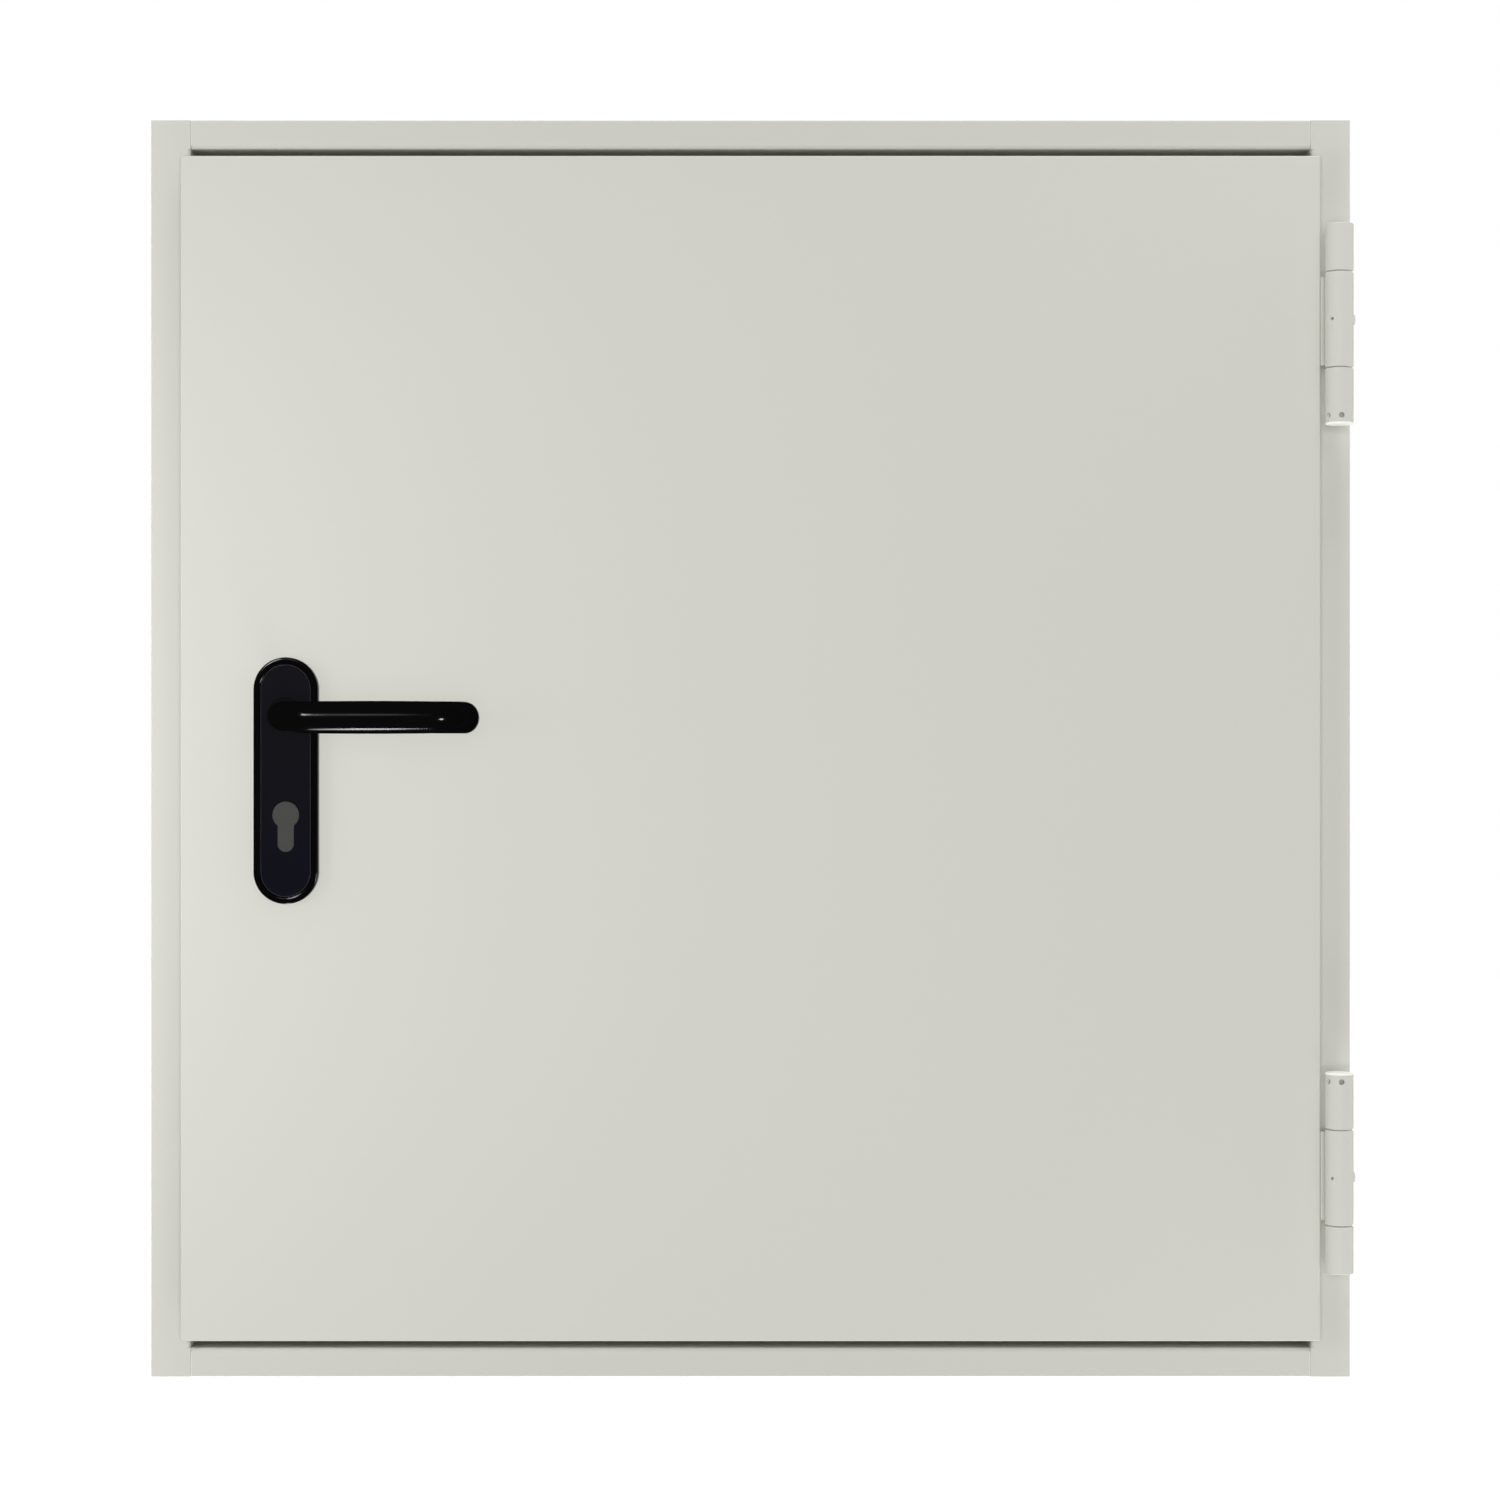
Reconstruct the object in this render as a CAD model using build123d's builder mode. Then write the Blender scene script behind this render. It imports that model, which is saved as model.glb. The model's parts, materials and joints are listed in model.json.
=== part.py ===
from build123d import *
import os

# Frame, folded from sheet with its face on the wall
frame_width = 880.0
frame_height = 922.0
jamb_face = 29.0
rail_face = 21.0
frame_sheet = 2.0
bend_radius = 1.0
edge_round = 1.0
rebate_depth = 41.0
stop_width = 17.0
reveal_depth = 85.0
return_width = 15.0
face_seam = 0.5

# Wall anchors behind the reveal, and the fixing holes
anchor_width = 40.0
anchor_length = 26.0
anchor_sheet = 2.5
anchor_spacing = 480.0
fixing_hole = 11.0

# Leaf, a front skin with side lips over a back tray filled with mineral wool
leaf_thickness = 45.0
leaf_proud = 8.0
lip_overlap = 6.0
side_gap = 7.0
rail_gap = 6.3
skin_sheet = 1.5
tray_corner = 2.0
lip_round = 1.2

# Seal on the stop
seal_width = 9.0
seal_wall = 1.2
seal_clearance = 0.6
seal_inset = 3.5

# Lock
backset = 65.0
lever_above_centre = 23.5
cylinder_spacing = 72.0
case_height = 165.0
case_length = 94.0
case_thickness = 15.0
case_above_lever = 40.0
forend_width = 24.0
forend_height = 235.0
forend_thickness = 3.0
bolt_length = 34.0
latch_width = 12.0
latch_height = 26.0
latch_above_lever = 8.0
dead_bolt_height = 36.0
dead_bolt_below_lever = 62.0
latch_bevel = 9.0
dead_bolt_edge = 1.0
strike_margin = 3.0
strike_depth = 16.0
strike_sheet = 1.5

# Cylinder hole and the blank that fills it
profile_diameter = 19.4
profile_tail_width = 11.8
profile_height = 36.6
profile_clearance = 0.2
blank_recess = 1.0

# Long plates and levers, the same on both sides
plate_width = 47.0
plate_height = 180.0
plate_thickness = 9.0
plate_rim = 5.5
field_margin = 0.6
field_recess = 0.5
plate_above_lever = 43.0
journal_diameter = 18.0
running_clearance = 0.05
collar_diameter = 27.0
collar_height = 5.0
collar_gap = 0.3
collar_chamfer = 1.2
grip_diameter = 22.0
lever_reach = 143.0
lever_standoff = 50.0
lever_bend = 20.0
return_gap = 14.0
grip_end_round = 6.0
spindle_size = 9.0
spindle_grip = 18.0
follower_diameter = 20.0
spindle_hole = 22.0

# Spring hinges
hinge_inset = 10.5
barrel_diameter = 20.5
pin_diameter = 12.0
hinge_outer_end = 382.6
hinge_outer_break = 347.6
hinge_inner_break = 277.7
hinge_inner_end = 236.2
barrel_gap = 1.0
barrel_chamfer = 0.5
frame_tab_thickness = 4.0
leaf_tab_margin = 2.5
ring_diameter = 16.0
ring_height = 12.0
tension_hole = 4.2
tension_hole_height = 6.2
tension_hole_count = 6
cap_height = 1.5
cap_plug = 2.5
cap_chamfer = 0.7
stud_diameter = 7.3
stud_stand = 0.9
set_hole = 2.4
set_hole_depth = 3.0
set_hole_angle = -130.0

# Security pins on the leaf's hinge side
security_pin_diameter = 12.0
security_pin_reach = 11.0
security_pin_taper = 2.0
security_pin_spacing = 520.0
security_hole = 24.0

os.makedirs("parts", exist_ok=True)

# Places worked out from the sizes
opening_width = frame_width - 2 * jamb_face
opening_height = frame_height - 2 * rail_face
outer_bend = bend_radius + frame_sheet
hatch_z = frame_height / 2 - (rail_face - outer_bend) / 2
leaf_width = opening_width + 2 * lip_overlap
leaf_height = opening_height - 2 * rail_gap
body_width = opening_width - 2 * side_gap
lip_width = (leaf_width - body_width) / 2
lip_thickness = 2 * skin_sheet
leaf_front = -frame_sheet - leaf_proud
skin_back = leaf_front + skin_sheet
lip_back = leaf_front + lip_thickness
leaf_back = leaf_front + leaf_thickness
leaf_middle = leaf_front + leaf_thickness / 2
tray_inside = leaf_back - skin_sheet
lock_side = -body_width / 2
lock_x = lock_side + backset
lever_z = hatch_z + lever_above_centre
cylinder_z = lever_z - cylinder_spacing
latch_z = lever_z + latch_above_lever
dead_bolt_z = lever_z - dead_bolt_below_lever
case_z = lever_z + case_above_lever - case_height / 2
case_start = lock_side + forend_thickness
plate_z = lever_z + plate_above_lever - plate_height / 2
barrel_radius = barrel_diameter / 2
bore_radius = pin_diameter / 2 + running_clearance
hinge_x = frame_width / 2 - hinge_inset
hinge_y = lip_back - barrel_radius


def save(piece, name):
    piece.label = name
    export_step(piece, f"parts/{name}.step")


# Outer edge of each member: x runs inward over the face, y into the wall, z along the member
hinge_edge = Plane(origin=(frame_width / 2, 0, hatch_z), x_dir=(-1, 0, 0), z_dir=(0, 0, -1))
lock_edge = Plane(origin=(-frame_width / 2, 0, hatch_z), x_dir=(1, 0, 0), z_dir=(0, 0, 1))
head_edge = Plane(origin=(0, 0, hatch_z + frame_height / 2), x_dir=(0, 0, -1), z_dir=(1, 0, 0))
sill_edge = Plane(origin=(0, 0, hatch_z - frame_height / 2), x_dir=(0, 0, 1), z_dir=(-1, 0, 0))
anchor_start = (rebate_depth + reveal_depth - anchor_length) / 2
anchor_middle = anchor_start + anchor_length / 2


def fixing_plane(edge, face):
    """Plane of the reveal's inside, its x along the member and its z towards the opening."""
    reveal_point = edge.from_local_coords((face + stop_width, anchor_middle, 0))
    return Plane(origin=reveal_point, x_dir=edge.z_dir, z_dir=edge.x_dir)


def frame_member(edge, face, half_opening, corner, corner_mode, seam):
    """A folded member, mitred behind its face, with the face square at both ends."""
    reveal = face + stop_width
    with BuildPart() as member:
        with BuildSketch(edge):
            with BuildLine():
                FilletPolyline(
                    (0, -frame_sheet),
                    (face, -frame_sheet),
                    (face, rebate_depth),
                    (reveal, rebate_depth),
                    (reveal, reveal_depth),
                    (reveal - return_width, reveal_depth),
                    radius=[outer_bend, bend_radius, outer_bend, outer_bend],
                )
                offset(amount=frame_sheet, side=Side.LEFT)
            make_face()
        extrude(amount=half_opening + corner, both=True)
        for end in (1, -1):
            mitre_point = edge.from_local_coords((face, 0, end * half_opening))
            mitre_normal = -edge.x_dir - edge.z_dir * end
            split(bisect_by=Plane(origin=mitre_point, z_dir=mitre_normal), keep=Keep.TOP)
            corner_middle = end * (half_opening + (corner - seam) / 2)
            with Locations(edge.location * Location((face / 2, -frame_sheet / 2, corner_middle))):
                Box(face, frame_sheet, corner + seam, mode=corner_mode)
        front_corner = edge.from_local_coords((0, -frame_sheet, 0))
        along = Axis(edge.origin, edge.z_dir)
        outer_edge = member.edges().filter_by(along).sort_by_distance(front_corner)[0]
        fillet(outer_edge, edge_round)
        with Locations(fixing_plane(edge, face)):
            with GridLocations(anchor_spacing, 0, 2, 1):
                Hole(fixing_hole / 2, depth=2 * frame_sheet)
    return member


def anchors(edge, face, name):
    """Two U brackets that pack the reveal off the wall, with the fixing holes through them."""
    outer = face + stop_width - return_width
    inner = face + stop_width - frame_sheet
    section_point = edge.from_local_coords((outer, anchor_start, 0))
    with BuildPart() as pair:
        with BuildSketch(Plane(origin=section_point, x_dir=edge.z_dir, z_dir=edge.y_dir)):
            with GridLocations(anchor_spacing, 0, 2, 1):
                Rectangle(anchor_width, inner - outer, align=(Align.CENTER, Align.MIN))
            with GridLocations(anchor_spacing, 0, 2, 1):
                with Locations((0, anchor_sheet)):
                    Rectangle(
                        anchor_width - 2 * anchor_sheet,
                        inner - outer,
                        align=(Align.CENTER, Align.MIN),
                        mode=Mode.SUBTRACT,
                    )
        extrude(amount=anchor_length)
        with Locations(fixing_plane(edge, face)):
            with GridLocations(anchor_spacing, 0, 2, 1):
                Hole(fixing_hole / 2, depth=return_width + frame_sheet)
    save(pair.part, name)


jamb_ends = (opening_height / 2, rail_face, Mode.ADD, 0)
rail_ends = (opening_width / 2, jamb_face, Mode.SUBTRACT, face_seam)

# Hinge jamb, with holes in its rebate for the security pins
folded_hinge_jamb = frame_member(hinge_edge, jamb_face, *jamb_ends)
hinge_rebate = Plane(origin=(opening_width / 2, leaf_middle, hatch_z), x_dir=(0, 0, 1), z_dir=(-1, 0, 0))
with BuildPart() as hinge_jamb:
    add(folded_hinge_jamb.part)
    with Locations(hinge_rebate):
        with GridLocations(security_pin_spacing, 0, 2, 1):
            Hole(security_hole / 2, depth=2 * frame_sheet)
save(hinge_jamb.part, "hinge_jamb")

# Lock jamb, with strike openings in its rebate
folded_lock_jamb = frame_member(lock_edge, jamb_face, *jamb_ends)
with BuildPart() as lock_jamb:
    add(folded_lock_jamb.part)
    for opening_z, bolt_height in ((latch_z, latch_height), (dead_bolt_z, dead_bolt_height)):
        with Locations((-opening_width / 2, leaf_middle, opening_z)):
            Box(
                4 * frame_sheet,
                latch_width + 2 * strike_margin,
                bolt_height + 2 * strike_margin,
                mode=Mode.SUBTRACT,
            )
save(lock_jamb.part, "lock_jamb")

# Head and sill
head = frame_member(head_edge, rail_face, *rail_ends)
save(head.part, "head")
sill = frame_member(sill_edge, rail_face, *rail_ends)
save(sill.part, "sill")

# Wall anchors of the four members
anchors(hinge_edge, jamb_face, "hinge_jamb_anchors")
anchors(lock_edge, jamb_face, "lock_jamb_anchors")
anchors(head_edge, rail_face, "head_anchors")
anchors(sill_edge, rail_face, "sill_anchors")

# Strike box behind the lock jamb's openings
strike_top = latch_z + latch_height / 2 + 2 * strike_margin
strike_bottom = dead_bolt_z - dead_bolt_height / 2 - 2 * strike_margin
strike_back = -opening_width / 2 - frame_sheet
with BuildPart() as strike_box:
    with Locations((strike_back, leaf_middle, (strike_top + strike_bottom) / 2)):
        Box(
            strike_depth,
            latch_width + 2 * strike_margin + 2 * strike_sheet,
            strike_top - strike_bottom,
            align=(Align.MAX, Align.CENTER, Align.CENTER),
        )
    offset(amount=-strike_sheet, openings=strike_box.faces().sort_by(Axis.X)[-1])
save(strike_box.part, "strike_box")

# Seal, a hollow bulb on the stop all round
seal_rise = rebate_depth - leaf_back - seal_clearance
seal_side = opening_width / 2 - seal_inset - seal_width / 2
seal_bottom = hatch_z - opening_height / 2 + seal_inset + seal_width / 2
seal_top = 2 * hatch_z - seal_bottom
with BuildPart() as seal:
    with BuildLine() as seal_path:
        Polyline(
            (0, rebate_depth, seal_bottom),
            (seal_side, rebate_depth, seal_bottom),
            (seal_side, rebate_depth, seal_top),
            (-seal_side, rebate_depth, seal_top),
            (-seal_side, rebate_depth, seal_bottom),
            close=True,
        )
    with BuildSketch(Plane(origin=(0, rebate_depth, seal_bottom), x_dir=(0, 0, 1), z_dir=(1, 0, 0))) as bulb:
        Rectangle(seal_width, seal_rise, align=(Align.CENTER, Align.MIN))
        fillet(bulb.vertices().group_by(Axis.Y)[-1], seal_rise / 2)
        offset(amount=-seal_wall, mode=Mode.SUBTRACT)
    sweep(path=seal_path.line, transition=Transition.RIGHT)
save(seal.part, "seal")


def barrel_end(way, distance):
    """Height of a place on a hinge, whose distances are counted from the hatch's centre."""
    return hatch_z + way * distance


def cylinder_profile(clearance):
    """Pear-shaped hole of a profile cylinder, round above and with a narrow tail below."""
    tail_radius = profile_tail_width / 2 + clearance
    tail_end = profile_diameter / 2 - profile_height + profile_tail_width / 2
    with BuildSketch() as outline:
        Circle(profile_diameter / 2 + clearance)
        Rectangle(2 * tail_radius, -tail_end, align=(Align.CENTER, Align.MAX))
        with Locations((0, tail_end)):
            Circle(tail_radius)
    return outline.sketch


hole_profile = cylinder_profile(profile_clearance)
blank_profile = cylinder_profile(0)
forend_plane = Plane(origin=(lock_side, leaf_middle, lever_z), x_dir=(0, 0, 1), z_dir=(-1, 0, 0))

# Front skin of the leaf, its side lips hemmed to double thickness
tab_middle = (hinge_outer_break + hinge_inner_break) / 2
tab_height = hinge_outer_break - hinge_inner_break - 2 * leaf_tab_margin
with BuildPart() as leaf_front_skin:
    with BuildSketch(Plane.XY.offset(hatch_z - leaf_height / 2)):
        with Locations((0, leaf_front)):
            Rectangle(leaf_width, skin_sheet, align=(Align.CENTER, Align.MIN))
        with GridLocations(body_width + lip_width, 0, 2, 1):
            with Locations((0, leaf_front)):
                Rectangle(lip_width, lip_thickness, align=(Align.CENTER, Align.MIN))
    extrude(amount=leaf_height)
    lip_edges = leaf_front_skin.edges().filter_by(Axis.Z).group_by(Axis.X)
    fillet(lip_edges[0] + lip_edges[-1], lip_round)
    front_face = leaf_front_skin.faces().sort_by(Axis.Y)[0]
    fillet(front_face.edges().filter_by(Axis.X), lip_round)
    for way in (1, -1):
        with Locations((body_width / 2, skin_back, barrel_end(way, tab_middle))):
            Box(
                lip_width,
                skin_sheet,
                tab_height,
                align=(Align.MIN, Align.MIN, Align.CENTER),
                mode=Mode.SUBTRACT,
            )
    with Locations(Plane.XZ.offset(-leaf_front)):
        with Locations((lock_x, lever_z)):
            Hole(spindle_hole / 2, depth=skin_sheet)
    with BuildSketch(Plane.XZ.offset(-skin_back)):
        with Locations((lock_x, cylinder_z)):
            add(hole_profile)
    extrude(amount=skin_sheet, mode=Mode.SUBTRACT)
save(leaf_front_skin.part, "leaf_front_skin")

# Back tray of the leaf, open to the front, cut for the forend and the lock
with BuildPart() as leaf_back_tray:
    with Locations((0, leaf_back, hatch_z)):
        Box(body_width, leaf_back - skin_back, leaf_height, align=(Align.CENTER, Align.MAX, Align.CENTER))
    fillet(leaf_back_tray.faces().sort_by(Axis.Y)[-1].edges(), tray_corner)
    offset(amount=-skin_sheet, openings=leaf_back_tray.faces().sort_by(Axis.Y)[0])
    with BuildSketch(forend_plane):
        SlotOverall(forend_height, forend_width)
    extrude(amount=forend_thickness, both=True, mode=Mode.SUBTRACT)
    with Locations(Plane.XZ.offset(-leaf_back)):
        with Locations((lock_x, lever_z)):
            Hole(spindle_hole / 2, depth=skin_sheet)
    with BuildSketch(Plane.XZ.offset(-leaf_back)):
        with Locations((lock_x, cylinder_z)):
            add(hole_profile)
    extrude(amount=skin_sheet, mode=Mode.SUBTRACT)
save(leaf_back_tray.part, "leaf_back_tray")

# Mineral wool core, open at the side for the lock case and through it for the spindle and the blank
with BuildPart() as leaf_core:
    with Locations((0, tray_inside, hatch_z)):
        Box(
            body_width - 2 * skin_sheet,
            tray_inside - skin_back,
            leaf_height - 2 * skin_sheet,
            align=(Align.CENTER, Align.MAX, Align.CENTER),
        )
    fillet(leaf_core.faces().sort_by(Axis.Y)[-1].edges(), tray_corner - skin_sheet)
    with Locations((lock_side, leaf_middle, case_z)):
        Box(
            forend_thickness + case_length,
            case_thickness,
            case_height,
            align=(Align.MIN, Align.CENTER, Align.CENTER),
            mode=Mode.SUBTRACT,
        )
    with BuildSketch(forend_plane):
        SlotOverall(forend_height, forend_width)
    extrude(amount=forend_thickness, both=True, mode=Mode.SUBTRACT)
    with Locations(Plane.XZ.offset(-leaf_middle)):
        with Locations((lock_x, lever_z)):
            Hole(spindle_hole / 2)
    with BuildSketch(Plane.XZ.offset(-leaf_middle)):
        with Locations((lock_x, cylinder_z)):
            add(hole_profile)
    extrude(amount=leaf_thickness, both=True, mode=Mode.SUBTRACT)
save(leaf_core.part, "leaf_core")

# Lock case, bored for its follower and cut for the blank and the two bolts
with BuildPart() as lock_case:
    with Locations((case_start, leaf_middle, case_z)):
        Box(case_length, case_thickness, case_height, align=(Align.MIN, Align.CENTER, Align.CENTER))
    with Locations(Plane.XZ.offset(-leaf_middle)):
        with Locations((lock_x, lever_z)):
            Hole(follower_diameter / 2 + running_clearance)
    with BuildSketch(Plane.XZ.offset(-leaf_middle)):
        with Locations((lock_x, cylinder_z)):
            add(hole_profile)
    extrude(amount=case_thickness, both=True, mode=Mode.SUBTRACT)
    for bolt_z, bolt_height in ((latch_z, latch_height), (dead_bolt_z, dead_bolt_height)):
        with Locations((lock_side, leaf_middle, bolt_z)):
            Box(
                bolt_length,
                latch_width,
                bolt_height,
                align=(Align.MIN, Align.CENTER, Align.CENTER),
                mode=Mode.SUBTRACT,
            )
save(lock_case.part, "lock_case")

# Forend, flush in the tray's side, with round ends and an opening for each bolt
with BuildPart() as lock_forend:
    with BuildSketch(forend_plane):
        SlotOverall(forend_height, forend_width)
        with Locations((latch_z - lever_z, 0)):
            Rectangle(latch_height, latch_width, mode=Mode.SUBTRACT)
        with Locations((dead_bolt_z - lever_z, 0)):
            Rectangle(dead_bolt_height, latch_width, mode=Mode.SUBTRACT)
    extrude(amount=-forend_thickness)
save(lock_forend.part, "lock_forend")

# Latch, drawn back flush with the forend and bevelled on the side that meets the strike first
with BuildPart() as latch_bolt:
    with Locations((lock_side, leaf_middle, latch_z)):
        Box(bolt_length, latch_width, latch_height, align=(Align.MIN, Align.CENTER, Align.CENTER))
    latch_nose = latch_bolt.faces().sort_by(Axis.X)[0]
    chamfer(latch_nose.edges().sort_by(Axis.Y)[-1], latch_bevel)
save(latch_bolt.part, "latch_bolt")

# Dead bolt, drawn back as well, with its nose eased all round
with BuildPart() as dead_bolt:
    with Locations((lock_side, leaf_middle, dead_bolt_z)):
        Box(bolt_length, latch_width, dead_bolt_height, align=(Align.MIN, Align.CENTER, Align.CENTER))
    chamfer(dead_bolt.faces().sort_by(Axis.X)[0].edges(), dead_bolt_edge)
save(dead_bolt.part, "dead_bolt")

# Long plate on the front, with a rounded rim and a field sunk inside it; the rear one mirrors it
middle_plane = Plane.XZ.offset(-leaf_middle)
field_inset = plate_rim + field_margin
field_height = plate_thickness - field_recess
with BuildPart() as front_plate:
    with BuildSketch(Plane.XZ.offset(-leaf_front)):
        with Locations((lock_x, plate_z)):
            SlotOverall(plate_height, plate_width, rotation=90)
    extrude(amount=plate_thickness)
    fillet(front_plate.faces().sort_by(Axis.Y)[0].edges(), plate_rim)
    with BuildSketch(Plane.XZ.offset(field_height - leaf_front)):
        with Locations((lock_x, plate_z)):
            SlotOverall(plate_height - 2 * field_inset, plate_width - 2 * field_inset, rotation=90)
    extrude(amount=field_recess, mode=Mode.SUBTRACT)
    with Locations(Plane.XZ.offset(-leaf_front)):
        with Locations((lock_x, lever_z)):
            Hole(journal_diameter / 2 + running_clearance, depth=plate_thickness)
    with BuildSketch(Plane.XZ.offset(-leaf_front)):
        with Locations((lock_x, cylinder_z)):
            add(hole_profile)
    extrude(amount=plate_thickness, mode=Mode.SUBTRACT)
save(front_plate.part, "front_plate")
with BuildPart() as rear_plate:
    mirror(front_plate.part, about=middle_plane)
save(rear_plate.part, "rear_plate")

# Plain blank that fills the cylinder hole from plate to plate
blank_half_length = leaf_thickness / 2 + plate_thickness - blank_recess
with BuildPart() as cylinder_blank:
    with BuildSketch(middle_plane):
        with Locations((lock_x, cylinder_z)):
            add(blank_profile)
    extrude(amount=blank_half_length, both=True)
save(cylinder_blank.part, "cylinder_blank")

# Front lever, a turned hub and a bent bar whose end returns towards the leaf
grip_y = leaf_front - lever_standoff
collar_start = leaf_front - field_height - collar_gap
grip_radius = grip_diameter / 2
with BuildPart() as front_lever:
    with BuildSketch(Plane.XY.offset(lever_z)) as hub:
        with Locations((lock_x, leaf_front)):
            Rectangle(journal_diameter / 2, leaf_front - collar_start, align=(Align.MIN, Align.MAX))
        with Locations((lock_x, collar_start)):
            Rectangle(collar_diameter / 2, collar_height, align=(Align.MIN, Align.MAX))
    revolve(axis=Axis((lock_x, 0, lever_z), (0, 1, 0)))
    chamfer(front_lever.faces().sort_by(Axis.Y)[0].edges(), collar_chamfer)
    with BuildLine(Plane.XY.offset(lever_z)) as bar_path:
        FilletPolyline(
            (lock_x, collar_start - collar_height / 2),
            (lock_x, grip_y),
            (lock_x + lever_reach - grip_radius, grip_y),
            (lock_x + lever_reach - grip_radius, leaf_front - return_gap),
            radius=lever_bend,
        )
    with BuildSketch(Plane(origin=bar_path.line @ 0, z_dir=bar_path.line % 0)):
        Circle(grip_radius)
    sweep(path=bar_path.line)
    return_end = front_lever.faces().filter_by(GeomType.PLANE).sort_by_distance(bar_path.line @ 1)[0]
    fillet(return_end.edges(), grip_end_round)
    with Locations((lock_x, leaf_front - spindle_grip / 2, lever_z)):
        Box(spindle_size, spindle_grip, spindle_size, mode=Mode.SUBTRACT)
save(front_lever.part, "front_lever")
with BuildPart() as rear_lever:
    mirror(front_lever.part, about=middle_plane)
save(rear_lever.part, "rear_lever")

# Square spindle through the leaf, and the follower that it turns in the lock case
with BuildPart() as spindle:
    with Locations((lock_x, leaf_middle, lever_z)):
        Box(spindle_size, leaf_thickness + 2 * spindle_grip, spindle_size)
save(spindle.part, "spindle")
with BuildPart() as follower:
    with BuildSketch(middle_plane):
        with Locations((lock_x, lever_z)):
            Circle(follower_diameter / 2)
            Rectangle(spindle_size, spindle_size, mode=Mode.SUBTRACT)
    extrude(amount=case_thickness / 2, both=True)
save(follower.part, "follower")

# Security pins, which enter the hinge jamb's holes as the leaf closes
with BuildPart() as security_pins:
    with BuildSketch(Plane(origin=(body_width / 2, leaf_middle, hatch_z), x_dir=(0, 0, 1), z_dir=(1, 0, 0))):
        with GridLocations(security_pin_spacing, 0, 2, 1):
            Circle(security_pin_diameter / 2)
    extrude(amount=security_pin_reach)
    chamfer(security_pins.faces().group_by(Axis.X)[-1].edges(), security_pin_taper)
save(security_pins.part, "security_pins")


def barrel(low, high, bore):
    """Tube of a hinge between two heights, chamfered at its outer edges."""
    with BuildPart() as tube:
        with BuildSketch(Plane.XY.offset(low)):
            with Locations((hinge_x, hinge_y)):
                Circle(barrel_radius)
        extrude(amount=high - low)
        chamfer(tube.edges().filter_by(GeomType.CIRCLE), barrel_chamfer)
        with BuildSketch(Plane.XY.offset(low)):
            with Locations((hinge_x, hinge_y)):
                Circle(bore)
        extrude(amount=high - low, mode=Mode.SUBTRACT)
    return tube.part


def frame_barrel(low, high):
    """Barrel with the tab that stands it off the hinge jamb's face."""
    tube = barrel(low, high, bore_radius)
    with BuildPart() as piece:
        with Locations((hinge_x, -frame_sheet, low)):
            Box(
                frame_tab_thickness,
                -frame_sheet - hinge_y - bore_radius,
                high - low,
                align=(Align.CENTER, Align.MAX, Align.MIN),
            )
        add(tube)
    return piece.part


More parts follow.
